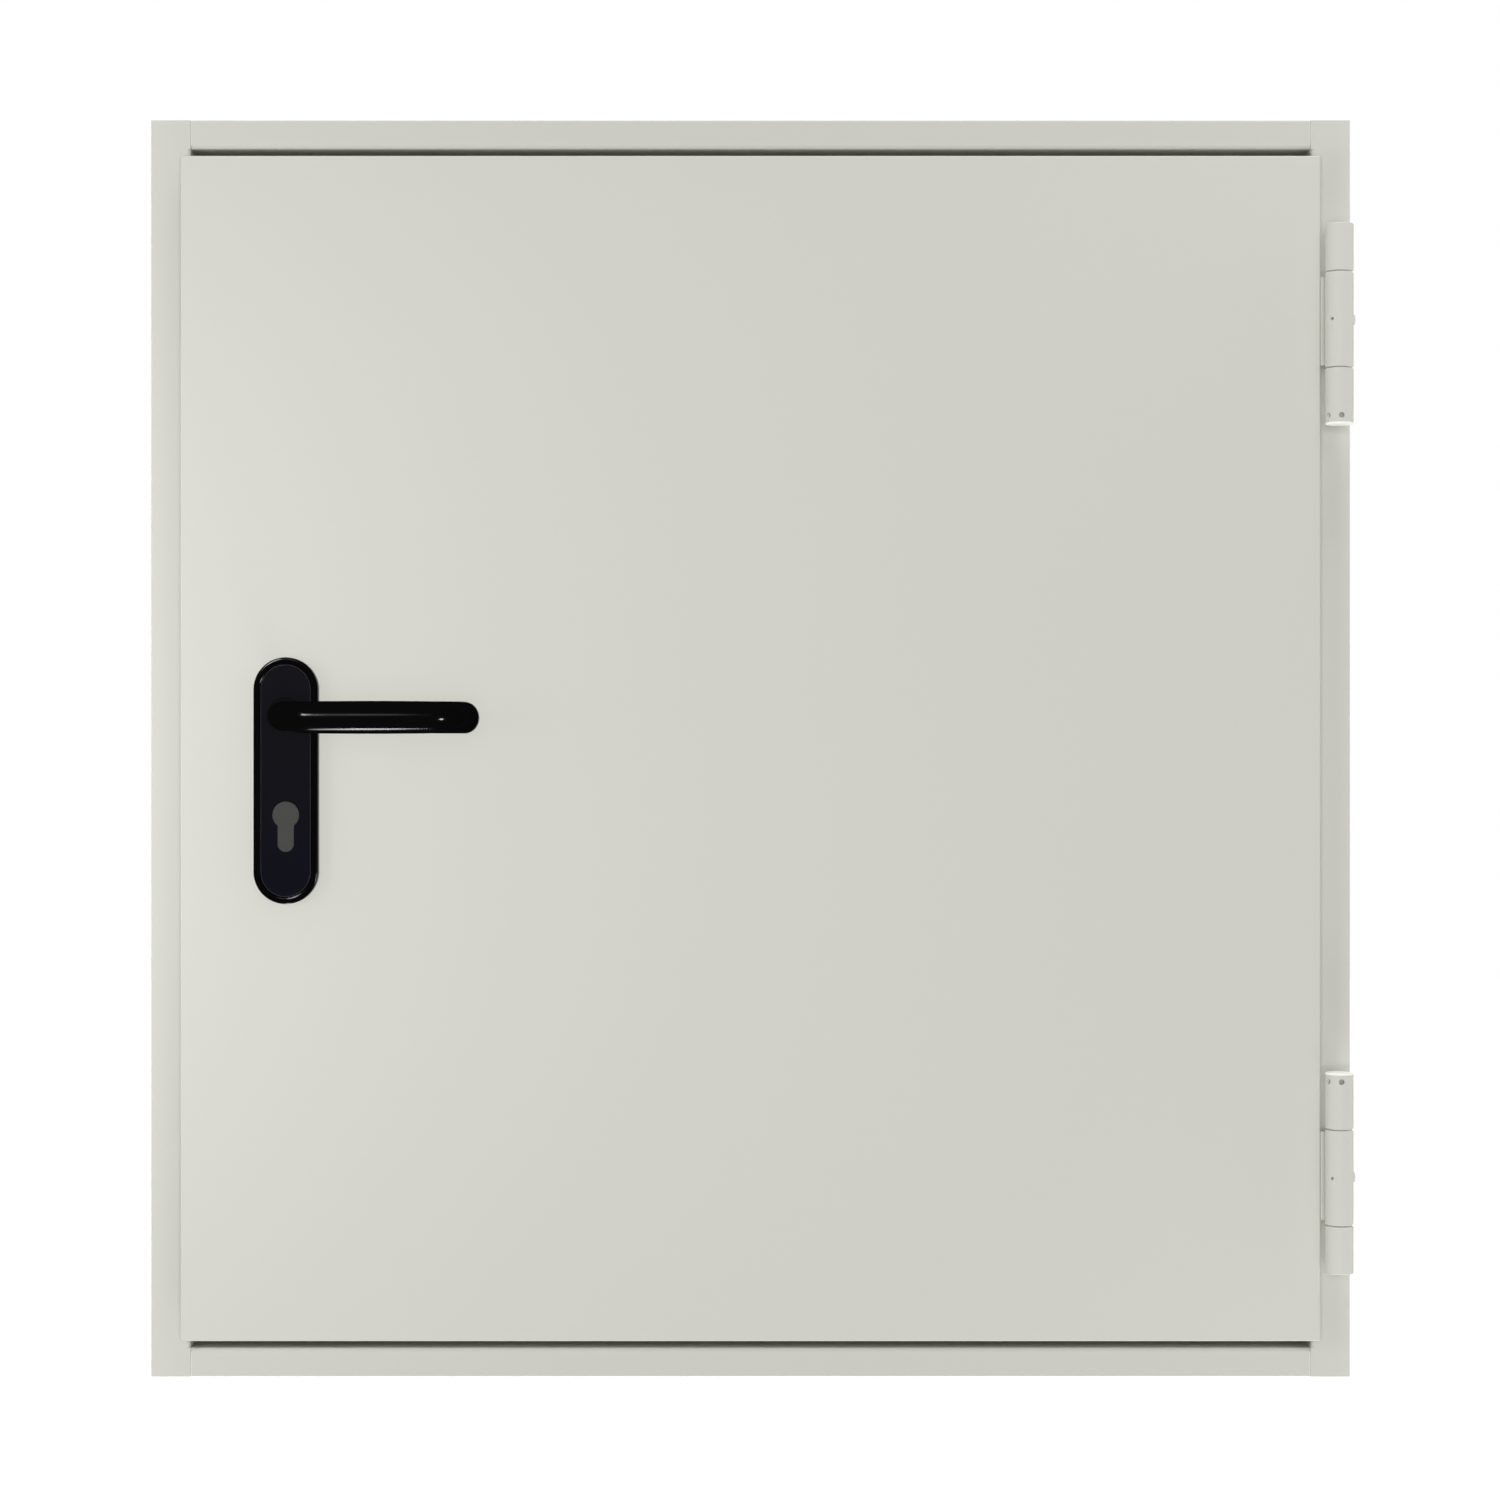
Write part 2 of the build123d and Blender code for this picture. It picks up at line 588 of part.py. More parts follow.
# Two spring hinges, each the other's mirror image about the hatch's centre
for hinge, way in (("upper_hinge", 1), ("lower_hinge", -1)):
    outer_low, outer_high = sorted(
        (barrel_end(way, hinge_outer_end), barrel_end(way, hinge_outer_break + barrel_gap / 2))
    )
    leaf_low, leaf_high = sorted(
        (
            barrel_end(way, hinge_outer_break - barrel_gap / 2),
            barrel_end(way, hinge_inner_break + barrel_gap / 2),
        )
    )
    inner_low, inner_high = sorted(
        (barrel_end(way, hinge_inner_break - barrel_gap / 2), barrel_end(way, hinge_inner_end + cap_height))
    )
    cap_seat = barrel_end(way, hinge_inner_end + cap_height)
    save(frame_barrel(outer_low, outer_high), f"{hinge}_end_barrel")

    # Leaf barrel with its tab, the stud and the set hole
    leaf_tube = barrel(leaf_low, leaf_high, bore_radius)
    with BuildPart() as leaf_barrel:
        with Locations((body_width / 2, skin_back, barrel_end(way, tab_middle))):
            Box(lip_width, skin_sheet, tab_height, align=(Align.MIN, Align.MIN, Align.CENTER))
        with Locations((leaf_width / 2, leaf_front, barrel_end(way, tab_middle))):
            Box(
                hinge_x - leaf_width / 2,
                lip_thickness,
                tab_height,
                align=(Align.MIN, Align.MIN, Align.CENTER),
            )
        with Locations((hinge_x, hinge_y, barrel_end(way, tab_middle))):
            Cylinder(
                stud_diameter / 2,
                barrel_radius + stud_stand,
                rotation=(0, 90, 0),
                align=(Align.CENTER, Align.CENTER, Align.MIN),
            )
        with Locations((hinge_x, hinge_y, leaf_low)):
            Cylinder(
                bore_radius,
                leaf_high - leaf_low,
                align=(Align.CENTER, Align.CENTER, Align.MIN),
                mode=Mode.SUBTRACT,
            )
        add(leaf_tube)
        with Locations((hinge_x, hinge_y, barrel_end(way, tab_middle))):
            with PolarLocations(barrel_radius, 1, start_angle=set_hole_angle):
                Cylinder(set_hole / 2, 2 * set_hole_depth, rotation=(0, 90, 0), mode=Mode.SUBTRACT)
    save(leaf_barrel.part, f"{hinge}_leaf_barrel")

    # Tension barrel, counterbored for the ring and drilled all round into it
    ring_low = min(cap_seat, cap_seat + way * ring_height)
    hole_z = barrel_end(way, hinge_inner_end + tension_hole_height)
    inner_tube = frame_barrel(inner_low, inner_high)
    with BuildPart() as tension_barrel:
        add(inner_tube)
        with Locations((hinge_x, hinge_y, ring_low)):
            Cylinder(
                ring_diameter / 2,
                ring_height,
                align=(Align.CENTER, Align.CENTER, Align.MIN),
                mode=Mode.SUBTRACT,
            )
        with Locations((hinge_x, hinge_y, hole_z)):
            with PolarLocations(0, tension_hole_count, start_angle=-90):
                Cylinder(
                    tension_hole / 2,
                    barrel_radius,
                    rotation=(0, 90, 0),
                    align=(Align.CENTER, Align.CENTER, Align.MIN),
                    mode=Mode.SUBTRACT,
                )
    save(tension_barrel.part, f"{hinge}_tension_barrel")
    with BuildPart() as tension_ring:
        with BuildSketch(Plane.XY.offset(ring_low)):
            with Locations((hinge_x, hinge_y)):
                Circle(ring_diameter / 2)
                Circle(bore_radius, mode=Mode.SUBTRACT)
        extrude(amount=ring_height)
        with Locations((hinge_x, hinge_y, hole_z)):
            with PolarLocations(0, tension_hole_count, start_angle=-90):
                Cylinder(
                    tension_hole / 2,
                    ring_diameter / 2,
                    rotation=(0, 90, 0),
                    align=(Align.CENTER, Align.CENTER, Align.MIN),
                    mode=Mode.SUBTRACT,
                )
    save(tension_ring.part, f"{hinge}_tension_ring")

    # Pin, held in the frame's barrels, and the cap over its end
    pin_low, pin_high = sorted((barrel_end(way, hinge_outer_end), cap_seat + way * cap_plug))
    with BuildPart() as pin:
        with BuildSketch(Plane.XY.offset(pin_low)):
            with Locations((hinge_x, hinge_y)):
                Circle(pin_diameter / 2)
        extrude(amount=pin_high - pin_low)
        chamfer(pin.edges().filter_by(GeomType.CIRCLE), barrel_chamfer)
    save(pin.part, f"{hinge}_pin")
    cap_low = min(cap_seat, cap_seat - way * cap_height)
    with BuildPart() as cap:
        with BuildSketch(Plane.XY.offset(cap_low)):
            with Locations((hinge_x, hinge_y)):
                Circle(barrel_radius)
        extrude(amount=cap_height)
        outer_rim = cap.edges().filter_by(GeomType.CIRCLE).sort_by(Axis((0, 0, 0), (0, 0, way)))[0]
        chamfer(outer_rim, cap_chamfer)
        with BuildSketch(Plane.XY.offset(min(cap_seat, cap_seat + way * cap_plug))):
            with Locations((hinge_x, hinge_y)):
                Circle(pin_diameter / 2)
        extrude(amount=cap_plug)
    save(cap.part, f"{hinge}_cap")
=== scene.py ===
# %% [markdown]
# # A fire access hatch, dressed around its CAD frame
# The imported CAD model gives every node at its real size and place, in metres.
# Loading it first means that nothing has to be fitted afterwards: each new piece
# takes its place from a node's box, and rides on the same body as that node.

# %% Load the frame
import json

import bmesh
import bpy
import numpy as np
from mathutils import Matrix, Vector


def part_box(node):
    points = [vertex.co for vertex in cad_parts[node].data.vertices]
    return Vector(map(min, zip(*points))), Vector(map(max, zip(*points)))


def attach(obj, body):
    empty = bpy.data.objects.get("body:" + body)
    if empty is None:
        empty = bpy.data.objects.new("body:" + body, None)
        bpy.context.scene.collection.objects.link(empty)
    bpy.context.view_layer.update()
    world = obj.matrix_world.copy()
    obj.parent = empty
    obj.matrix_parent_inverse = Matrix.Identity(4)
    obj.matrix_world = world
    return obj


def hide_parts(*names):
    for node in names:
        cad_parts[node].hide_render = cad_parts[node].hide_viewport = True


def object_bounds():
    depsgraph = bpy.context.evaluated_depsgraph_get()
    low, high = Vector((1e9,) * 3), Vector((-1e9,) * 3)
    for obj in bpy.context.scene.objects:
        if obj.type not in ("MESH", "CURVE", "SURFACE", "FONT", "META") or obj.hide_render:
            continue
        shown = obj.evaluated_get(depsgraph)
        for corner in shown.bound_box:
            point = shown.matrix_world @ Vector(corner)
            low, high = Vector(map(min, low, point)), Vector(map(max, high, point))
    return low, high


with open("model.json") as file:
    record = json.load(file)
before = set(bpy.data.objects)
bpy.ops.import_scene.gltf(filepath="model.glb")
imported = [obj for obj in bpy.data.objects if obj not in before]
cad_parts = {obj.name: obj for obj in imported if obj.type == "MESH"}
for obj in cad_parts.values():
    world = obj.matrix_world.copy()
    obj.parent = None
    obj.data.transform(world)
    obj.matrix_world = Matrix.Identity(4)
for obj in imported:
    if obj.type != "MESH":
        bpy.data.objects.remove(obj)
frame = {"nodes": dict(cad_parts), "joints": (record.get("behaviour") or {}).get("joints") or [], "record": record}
cad_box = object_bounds()
scene = bpy.context.scene

# %% [markdown]
# ## The camera
# The photograph was taken square on, from some two and a half metres. A long lens and a
# camera at the height of the hatch's middle keep its edges parallel, as they are there.
# The image is as wide as the stretch of wall that the photograph shows around the frame.

# %% Place the camera
MILLIMETRE = 0.001
IMAGE_SIZE = 1500
PIXEL = 0.7339 * MILLIMETRE
CAMERA_DISTANCE = 2.5
CAMERA_X = -0.4 * MILLIMETRE
CAMERA_Z = 450.9 * MILLIMETRE
SENSOR = 36.0

face_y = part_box("head")[0].y
camera_data = bpy.data.cameras.new("camera")
camera_data.sensor_width = SENSOR
camera_data.lens = SENSOR * CAMERA_DISTANCE / (IMAGE_SIZE * PIXEL)
camera = bpy.data.objects.new("camera", camera_data)
camera.location = (CAMERA_X, face_y - CAMERA_DISTANCE, CAMERA_Z)
camera.rotation_euler = (np.pi / 2, 0, 0)
scene.collection.objects.link(camera)
scene.camera = camera
print("lens", round(camera_data.lens, 2), "mm")

# %% [markdown]
# ## The studio
# A catalogue picture has a white ground and very soft light. What a ray finds when it leaves the
# hatch depends on the kind of ray. The camera sees pure white. Paint is lit by walls that are paler
# behind the hatch than before it, because lamps stand there instead. Polished plastic mirrors a studio
# that is white behind the hatch and dark behind the camera, which is why black plastic looks black.

# %% Light the world
# The two tones, and the stretch of depth over which one turns into the other
WALLS = {"front": 0.10, "back": 1.20, "start": -0.55, "end": 0.00}
MIRRORED = {"front": 0.01, "back": 1.0, "start": 0.70, "end": 0.90}


def link(tree, start, end):
    """Joins an output socket to an input socket."""
    tree.links.new(start, end)


def node(tree, kind, inputs=None, **settings):
    """Adds a shader node, with its settings, and with values or links for its named inputs."""
    made = tree.nodes.new(kind)
    for setting, value in settings.items():
        setattr(made, setting, value)
    for socket, value in (inputs or {}).items():
        if isinstance(value, bpy.types.NodeSocket):
            link(tree, value, made.inputs[socket])
        else:
            made.inputs[socket].default_value = value
    return made


def math_node(tree, operation, first, second=0.0):
    """One step of arithmetic, as an output socket."""
    made = node(tree, "ShaderNodeMath", operation=operation)
    for socket, value in zip(made.inputs, (first, second)):
        if isinstance(value, bpy.types.NodeSocket):
            link(tree, value, socket)
        else:
            socket.default_value = value
    return made.outputs[0]


def by_depth(tree, place, tones):
    """A tone that turns from the front's into the back's along +Y."""
    depth = node(tree, "ShaderNodeSeparateXYZ", {"Vector": place}).outputs["Y"]
    inputs = {
        "Value": depth,
        "From Min": tones["start"],
        "From Max": tones["end"],
        "To Min": tones["front"],
        "To Max": tones["back"],
    }
    return node(tree, "ShaderNodeMapRange", inputs, interpolation_type="SMOOTHSTEP").outputs["Result"]


def studio_tone(tree, rays, place):
    """The tone that the studio shows to mirror and glass rays, or else to the rays that light paint."""
    mirror = math_node(tree, "MAXIMUM", rays["Is Glossy Ray"], rays["Is Transmission Ray"])
    matt = math_node(tree, "SUBTRACT", 1.0, mirror)
    return math_node(
        tree,
        "ADD",
        math_node(tree, "MULTIPLY", mirror, by_depth(tree, place, MIRRORED)),
        math_node(tree, "MULTIPLY", matt, by_depth(tree, place, WALLS)),
    )


world = bpy.data.worlds.new("studio")
world.use_nodes = True
scene.world = world
sky = world.node_tree
sky.nodes.clear()
sky_rays = node(sky, "ShaderNodeLightPath").outputs
direction = node(sky, "ShaderNodeTexCoord").outputs["Generated"]
unseen = math_node(sky, "SUBTRACT", 1.0, sky_rays["Is Camera Ray"])
strength = math_node(sky, "MULTIPLY", unseen, studio_tone(sky, sky_rays, direction))
strength = math_node(sky, "ADD", strength, sky_rays["Is Camera Ray"])
backdrop = node(sky, "ShaderNodeBackground", {"Color": (1, 1, 1, 1), "Strength": strength})
link(sky, backdrop.outputs[0], node(sky, "ShaderNodeOutputWorld").inputs["Surface"])
scene.view_settings.view_transform = "Standard"

# %% [markdown]
# Most of the light comes from one large soft lamp in front. It reaches into the gaps round the leaf
# and leaves hardly a shadow beside the plate. A small lamp on the left, at the hatch's own height,
# makes the left side lighter and fades fast to the right, as in the photograph, and four near the
# corners lift the corners. Two far above and below fill the undersides, such as the hinges' white
# caps. These eight light the paint, and no mirror shows them.

# %% Place the lamps
FRONT_DISTANCE = 4.0
FRONT_SIZE = 3.2
FRONT_WATTS = 98.0
KEY_PLACE = (-1.0, -0.6, CAMERA_Z)
KEY_AIM = (-0.2, 0, CAMERA_Z)
KEY_WIDTH = 0.3
KEY_HEIGHT = 0.5
KEY_WATTS = 3.4
FILL_WATTS = 36.0
FILL_X = 0.6
FILL_FORWARD = 0.6
FILL_RISE = 3.4
FILL_SIZE = 0.8
CORNER_WATTS = {-1: 0.03, 1: 0.74}
CORNER_OUT = 0.75
CORNER_FORWARD = 0.5
CORNER_AIM = 0.35
CORNER_SIZE = 0.3


def lamp(name, place, aim, width, height, watts):
    """A rectangular lamp that faces a point, seen neither by the camera nor in a mirror."""
    data = bpy.data.lights.new(name, "AREA")
    data.shape = "RECTANGLE"
    data.size = width
    data.size_y = height
    data.energy = watts
    made = bpy.data.objects.new(name, data)
    made.location = place
    made.rotation_euler = (Vector(aim) - Vector(place)).to_track_quat("-Z", "Y").to_euler()
    made.visible_camera = False
    made.visible_glossy = False
    scene.collection.objects.link(made)
    return made


lamp("front", (0, -FRONT_DISTANCE, CAMERA_Z), (0, 0, CAMERA_Z), FRONT_SIZE, FRONT_SIZE, FRONT_WATTS)
lamp("key", KEY_PLACE, KEY_AIM, KEY_WIDTH, KEY_HEIGHT, KEY_WATTS)
for rise in (-1, 1):
    place = (FILL_X, -FILL_FORWARD, CAMERA_Z + rise * FILL_RISE)
    lamp(f"fill_{rise}", place, (FILL_X, 0, CAMERA_Z), FILL_SIZE, FILL_SIZE, FILL_WATTS)
for side, watts in CORNER_WATTS.items():
    for rise in (-1, 1):
        lamp(
            f"corner_{side}_{rise}",
            (side * CORNER_OUT, -CORNER_FORWARD, CAMERA_Z + rise * CORNER_OUT),
            (side * CORNER_AIM, 0, CAMERA_Z + rise * CORNER_AIM),
            CORNER_SIZE,
            CORNER_SIZE,
            watts,
        )
print("lamps", [light.name for light in bpy.data.lights])

# %% [markdown]
# ## Making meshes from formulas
# Every new piece here is a surface worked out as a row of closed rings of points: one direction runs
# along the piece, the other round it. Numpy works out all the points at once. Two small helpers turn
# such rings into one mesh, with each patch's faces given by the points' own numbering.


# %% Rings into meshes
WELD = 1e-6


def ring_faces(rings, columns):
    """Four corners for each cell between closed rings: point (i, j) has the number i * columns + j."""
    i, j = np.meshgrid(np.arange(rings - 1), np.arange(columns), indexing="ij")
    near, far = i * columns, (i + 1) * columns
    next_j = (j + 1) % columns
    return np.stack((near + j, near + next_j, far + next_j, far + j), axis=-1).reshape(-1, 4)


def build_mesh(name, patches, smooth_angle=40.0):
    """One mesh from patches of (points, faces), welded where patches meet, facing outwards."""
    points, faces, count = [], [], 0
    for patch_points, patch_faces in patches:
        flat = np.asarray(patch_points, float).reshape(-1, 3)
        points.append(flat)
        faces.extend((patch_faces + count).tolist())
        count += len(flat)
    mesh = bpy.data.meshes.new(name)
    mesh.from_pydata(np.concatenate(points).tolist(), [], faces)
    tidy = bmesh.new()
    tidy.from_mesh(mesh)
    bmesh.ops.remove_doubles(tidy, verts=tidy.verts, dist=WELD)
    bmesh.ops.recalc_face_normals(tidy, faces=tidy.faces)
    tidy.to_mesh(mesh)
    tidy.free()
    mesh.shade_smooth()
    mesh.set_sharp_from_angle(angle=np.radians(smooth_angle))
    made = bpy.data.objects.new(name, mesh)
    scene.collection.objects.link(made)
    print(name, len(mesh.polygons), "faces")
    return made


# %% [markdown]
# ## Powder coat
# The steel is coated with a satin powder paint. Seen close it has the fine "orange peel" of paint
# that has flowed and set, and the sheet under it is never quite flat. Both are far too small to
# model, so two noise patterns drive a bump: one about a millimetre across and one as wide as a hand.
# The colour drifts by a hair too, because no large painted sheet is one even tone.

# %% Powder coat
PAINT = (0.650, 0.650, 0.596, 1)
PAINT_LIGHT = (0.664, 0.664, 0.609, 1)
# Sizes and depths of patterns are in metres
DRIFT_SIZE = 0.35
WAVE_SIZE = 0.22
WAVE_DEPTH = 0.0006
PEEL_SIZE = 0.0011
PEEL_DEPTH = 0.00001
SATIN_SIZE = 0.02
SATIN = (0.44, 0.52)


def object_place(tree):
    """The place of a point on the piece, in metres."""
    return node(tree, "ShaderNodeTexCoord").outputs["Object"]


def noise(tree, size, detail=2.0, roughness=0.5, stretch=None):
    """A soft random pattern whose blobs are about one size across, from 0 to 1."""
    place = object_place(tree)
    if stretch:
        place = node(tree, "ShaderNodeMapping", {"Vector": place, "Scale": stretch}).outputs["Vector"]
    made = node(
        tree,
        "ShaderNodeTexNoise",
        {"Vector": place, "Scale": 1 / size, "Detail": detail, "Roughness": roughness},
    )
    return made.outputs["Fac"]


def blend_colour(tree, share, first, second):
    """A colour between two colours or colour sockets: first at a share of 0, second at 1."""
    made = node(tree, "ShaderNodeMix", data_type="RGBA")
    sockets = {socket.identifier: socket for socket in made.inputs}
    link(tree, share, sockets["Factor_Float"])
    for name, colour in (("A_Color", first), ("B_Color", second)):
        if isinstance(colour, bpy.types.NodeSocket):
            link(tree, colour, sockets[name])
        else:
            sockets[name].default_value = colour
    return next(socket for socket in made.outputs if socket.identifier == "Result_Color")


def spread(tree, share, low, high):
    """A pattern from 0 to 1 drawn out between two values."""
    made = node(tree, "ShaderNodeMapRange", {"Value": share, "To Min": low, "To Max": high})
    return made.outputs["Result"]


def bump(tree, height, distance, under=None):
    """Dents a surface by a pattern, over another bump if there is one."""
    inputs = {"Height": height, "Distance": distance, "Strength": 1.0}
    if under is not None:
        inputs["Normal"] = under
    return node(tree, "ShaderNodeBump", inputs).outputs["Normal"]


def material(name, **fixed):
    """An empty material with one Principled shader, whose constant values are set on the shader."""
    made = bpy.data.materials.new(name)
    made.use_nodes = True
    tree = made.node_tree
    tree.nodes.clear()
    shader = node(tree, "ShaderNodeBsdfPrincipled")
    for socket, value in fixed.items():
        shader.inputs[socket.replace("_", " ")].default_value = value
    link(tree, shader.outputs[0], node(tree, "ShaderNodeOutputMaterial").inputs["Surface"])
    return made, tree, shader.inputs


def powder_coat():
    """Satin paint: a drift of tone, a wave as wide as a hand and a peel of a millimetre."""
    made, tree, shader = material("powder_coat", Specular_IOR_Level=0.35)
    drift = noise(tree, DRIFT_SIZE, detail=3)
    link(tree, blend_colour(tree, drift, PAINT, PAINT_LIGHT), shader["Base Color"])
    peel = noise(tree, PEEL_SIZE, detail=1)
    waves = noise(tree, WAVE_SIZE, detail=1)
    link(tree, spread(tree, noise(tree, SATIN_SIZE), *SATIN), shader["Roughness"])
    wavy = bump(tree, waves, WAVE_DEPTH)
    link(tree, bump(tree, peel, PEEL_DEPTH, wavy), shader["Normal"])
    return made


# %% [markdown]
# ## Bare metal
# Behind the paint there are zinc-plated parts: wall anchors, lock, bolts, pins. Zinc has a dull
# grey shine with faint cloudy patches, and the plating follows the scratches of the steel. A noise
# pattern stretched along one axis gives the scratches, and a second, blotchy one the clouds.


# %% Zinc
ZINC_DULL = (0.42, 0.42, 0.41, 1)
ZINC_BRIGHT = (0.62, 0.61, 0.58, 1)
ZINC_SHEEN = (0.28, 0.46)
CLOUD_SIZE = 0.012
SCRATCH_SIZE = 0.0006
SCRATCH_DEPTH = 0.00002
SCRATCH_STRETCH = (1, 1, 0.04)


def zinc_steel():
    """Clouds of tone over fine scratches that run up the piece."""
    made, tree, shader = material("zinc_steel", Metallic=0.45)
    clouds = noise(tree, CLOUD_SIZE, detail=4, roughness=0.6)
    scratches = noise(tree, SCRATCH_SIZE, detail=2, stretch=SCRATCH_STRETCH)
    link(tree, blend_colour(tree, clouds, ZINC_DULL, ZINC_BRIGHT), shader["Base Color"])
    link(tree, spread(tree, scratches, *ZINC_SHEEN), shader["Roughness"])
    link(tree, bump(tree, scratches, SCRATCH_DEPTH), shader["Normal"])
    return made


# %% [markdown]
# ## Plastics
# The lever and the rim of its plate are polished black nylon. The plate's field is the same nylon,
# left with a fine grain by the mould. The field is told from the rim by a number stored on the
# mesh's points, so one material covers the whole moulding, and where that number is halfway a thin
# paler line is painted along the field's edge: a painted highlight, in place of the light that the
# small step there would catch. The lever mirrors a little at every angle instead of much at the
# outline, because the pale leaf would otherwise draw a grey edge round it. The filling of the cylinder
# hole is matt grey, and the hinge caps are white.

# %% Plastics
EVEN_BLACK = (0.0054, 0.0052, 0.0054, 1)
EVEN_OTHER = (0.0066, 0.0064, 0.0067, 1)
GLOSS_BLACK = (0.0022, 0.0018, 0.0022, 1)
GLOSS_OTHER = (0.0030, 0.0026, 0.0032, 1)
# Painted highlight: the pale colour of the thin line along the field's edge, not a colour of the nylon
FIELD_EDGE_HIGHLIGHT = (0.0900, 0.0880, 0.1000, 1)
FIELD_BLACK = (0.0054, 0.0048, 0.0066, 1)
FIELD_NAVY = (0.0022, 0.0022, 0.0070, 1)
FIELD_ATTRIBUTE = "field"
RIM_ROUGHNESS = 0.10
FIELD_ROUGHNESS = 1.00
FIELD_GRAIN = 0.0007
FIELD_DEPTH = 0.00003
POLISH_SIZE = 0.004
POLISH = (0.09, 0.15)
FLOW_SIZE = 0.03
FLOW_DEPTH = 0.00005
TONE_SIZE = 0.006
PLAIN_RANGE = 0.05
GREY = (0.056, 0.056, 0.054, 1)
GREY_OTHER = (0.063, 0.063, 0.061, 1)
WHITE = (0.95, 0.95, 0.89, 1)
WHITE_OTHER = (0.97, 0.97, 0.91, 1)


def polished_black():
    """Shiny alike at all angles, so that the pale leaf draws no grey edge round the lever."""
    made, tree, shader = material("polished_black", Specular_IOR_Level=0.0, Metallic=0.55)
    shader["Specular Tint"].default_value = (0, 0, 0, 1)
    flow = noise(tree, FLOW_SIZE, detail=2)
    link(tree, blend_colour(tree, flow, EVEN_BLACK, EVEN_OTHER), shader["Base Color"])
    link(tree, spread(tree, noise(tree, POLISH_SIZE), *POLISH), shader["Roughness"])
    link(tree, bump(tree, flow, FLOW_DEPTH), shader["Normal"])
    return made


def plate_black():
    """Polished rim, grained field, and a painted highlight line between them: edge = 4 * field * (1 - field)."""
    made, tree, shader = material("plate_black", Specular_IOR_Level=0.05)
    on_field = node(tree, "ShaderNodeAttribute", attribute_name=FIELD_ATTRIBUTE).outputs["Fac"]
    height = node(tree, "ShaderNodeSeparateXYZ", {"Vector": object_place(tree)}).outputs["Z"]
    lowness = node(
        tree,
        "ShaderNodeMapRange",
        {"Value": height, "From Min": plate_top, "From Max": plate_bottom},
    ).outputs["Result"]
    field = blend_colour(tree, lowness, FIELD_BLACK, FIELD_NAVY)
    # The painted highlight line: pale where the field mark is halfway between rim and field
    four_off = math_node(tree, "SUBTRACT", 4.0, math_node(tree, "MULTIPLY", on_field, 4.0))
    edge = math_node(tree, "MULTIPLY", on_field, four_off)
    colour = blend_colour(tree, on_field, GLOSS_BLACK, field)
    link(tree, blend_colour(tree, edge, colour, FIELD_EDGE_HIGHLIGHT), shader["Base Color"])
    link(tree, spread(tree, on_field, RIM_ROUGHNESS, FIELD_ROUGHNESS), shader["Roughness"])
    grain = math_node(tree, "MULTIPLY", noise(tree, FIELD_GRAIN, detail=2), on_field)
    link(tree, bump(tree, grain, FIELD_DEPTH), shader["Normal"])
    return made


def plain_plastic(name, colour, other, roughness, grain_size, grain_depth, shine=0.5):
    """A plastic with a faint flow of tone and a fine moulded grain."""
    made, tree, shader = material(name, Specular_IOR_Level=shine)
    link(tree, blend_colour(tree, noise(tree, TONE_SIZE), colour, other), shader["Base Color"])
    grain = noise(tree, grain_size, detail=2)
    link(tree, spread(tree, grain, roughness - PLAIN_RANGE, roughness + PLAIN_RANGE), shader["Roughness"])
    link(tree, bump(tree, grain, grain_depth), shader["Normal"])
    return made


# %% [markdown]
# ## Rubber and wool
# The seal is soft grey rubber, dull and lightly dusted. The leaf is packed with mineral wool,
# which is seen only down the bores: pressed fibres that run in layers, from a noise pattern that is
# squeezed along the thickness.


# %% Rubber and wool
RUBBER = (0.42, 0.42, 0.39, 1)
RUBBER_DUST = (0.50, 0.50, 0.46, 1)
WOOL_DARK = (0.20, 0.16, 0.07, 1)
WOOL_LIGHT = (0.50, 0.43, 0.24, 1)
DUST_SIZE = 0.008
DUSTY = (0.55, 0.75)
RUBBER_GRAIN = 0.0008
RUBBER_DEPTH = 0.00004
FIBRE_SIZE = 0.0016
FIBRE_DEPTH = 0.0006
FIBRE_STRETCH = (0.25, 4, 0.25)


def seal_rubber():
    """Dull grey rubber with patches of dust, which are also the rougher ones."""
    made, tree, shader = material("seal_rubber", Specular_IOR_Level=0.3)
    dust = noise(tree, DUST_SIZE, detail=4)
    link(tree, blend_colour(tree, dust, RUBBER, RUBBER_DUST), shader["Base Color"])
    link(tree, spread(tree, dust, *DUSTY), shader["Roughness"])
    link(tree, bump(tree, noise(tree, RUBBER_GRAIN), RUBBER_DEPTH), shader["Normal"])
    return made


def mineral_wool():
    """Fibres from a noise that is squeezed through the leaf and drawn out along it."""
    made, tree, shader = material("mineral_wool", Roughness=0.95)
    fibres = noise(tree, FIBRE_SIZE, detail=6, roughness=0.7, stretch=FIBRE_STRETCH)
    link(tree, blend_colour(tree, fibres, WOOL_DARK, WOOL_LIGHT), shader["Base Color"])
    link(tree, bump(tree, fibres, FIBRE_DEPTH), shader["Normal"])
    return made


# %% [markdown]
# ## Painting the CAD nodes
# A CAD node already has the right shape, so it only gets a finish. The record says which slot each
# node belongs to, and one finish is made for each slot. The mesh itself is left as it is.

# %% Paint the CAD nodes
plate_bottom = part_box("front_plate")[0].z
plate_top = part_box("front_plate")[1].z
finishes = {
    "powder_coat": powder_coat(),
    "zinc_steel": zinc_steel(),
    "black_plastic": polished_black(),
    "grey_plastic": plain_plastic("grey_plastic", GREY, GREY_OTHER, 0.55, 0.0006, 0.00003),
    "white_plastic": plain_plastic("white_plastic", WHITE, WHITE_OTHER, 0.30, 0.0009, 0.00001),
    "seal_rubber": seal_rubber(),
    "mineral_wool": mineral_wool(),
}
plate_finish = plate_black()


def dress(piece, finish):
    """Gives a piece one finish on all its faces."""
    piece.data.materials.clear()
    piece.data.materials.append(finish)


slot_of = {part["node"]: part["material_slot"] for part in frame["record"]["subparts"]}
for name, cad_node in frame["nodes"].items():
    dress(cad_node, finishes[slot_of[name]])
print("finishes", sorted(finishes))

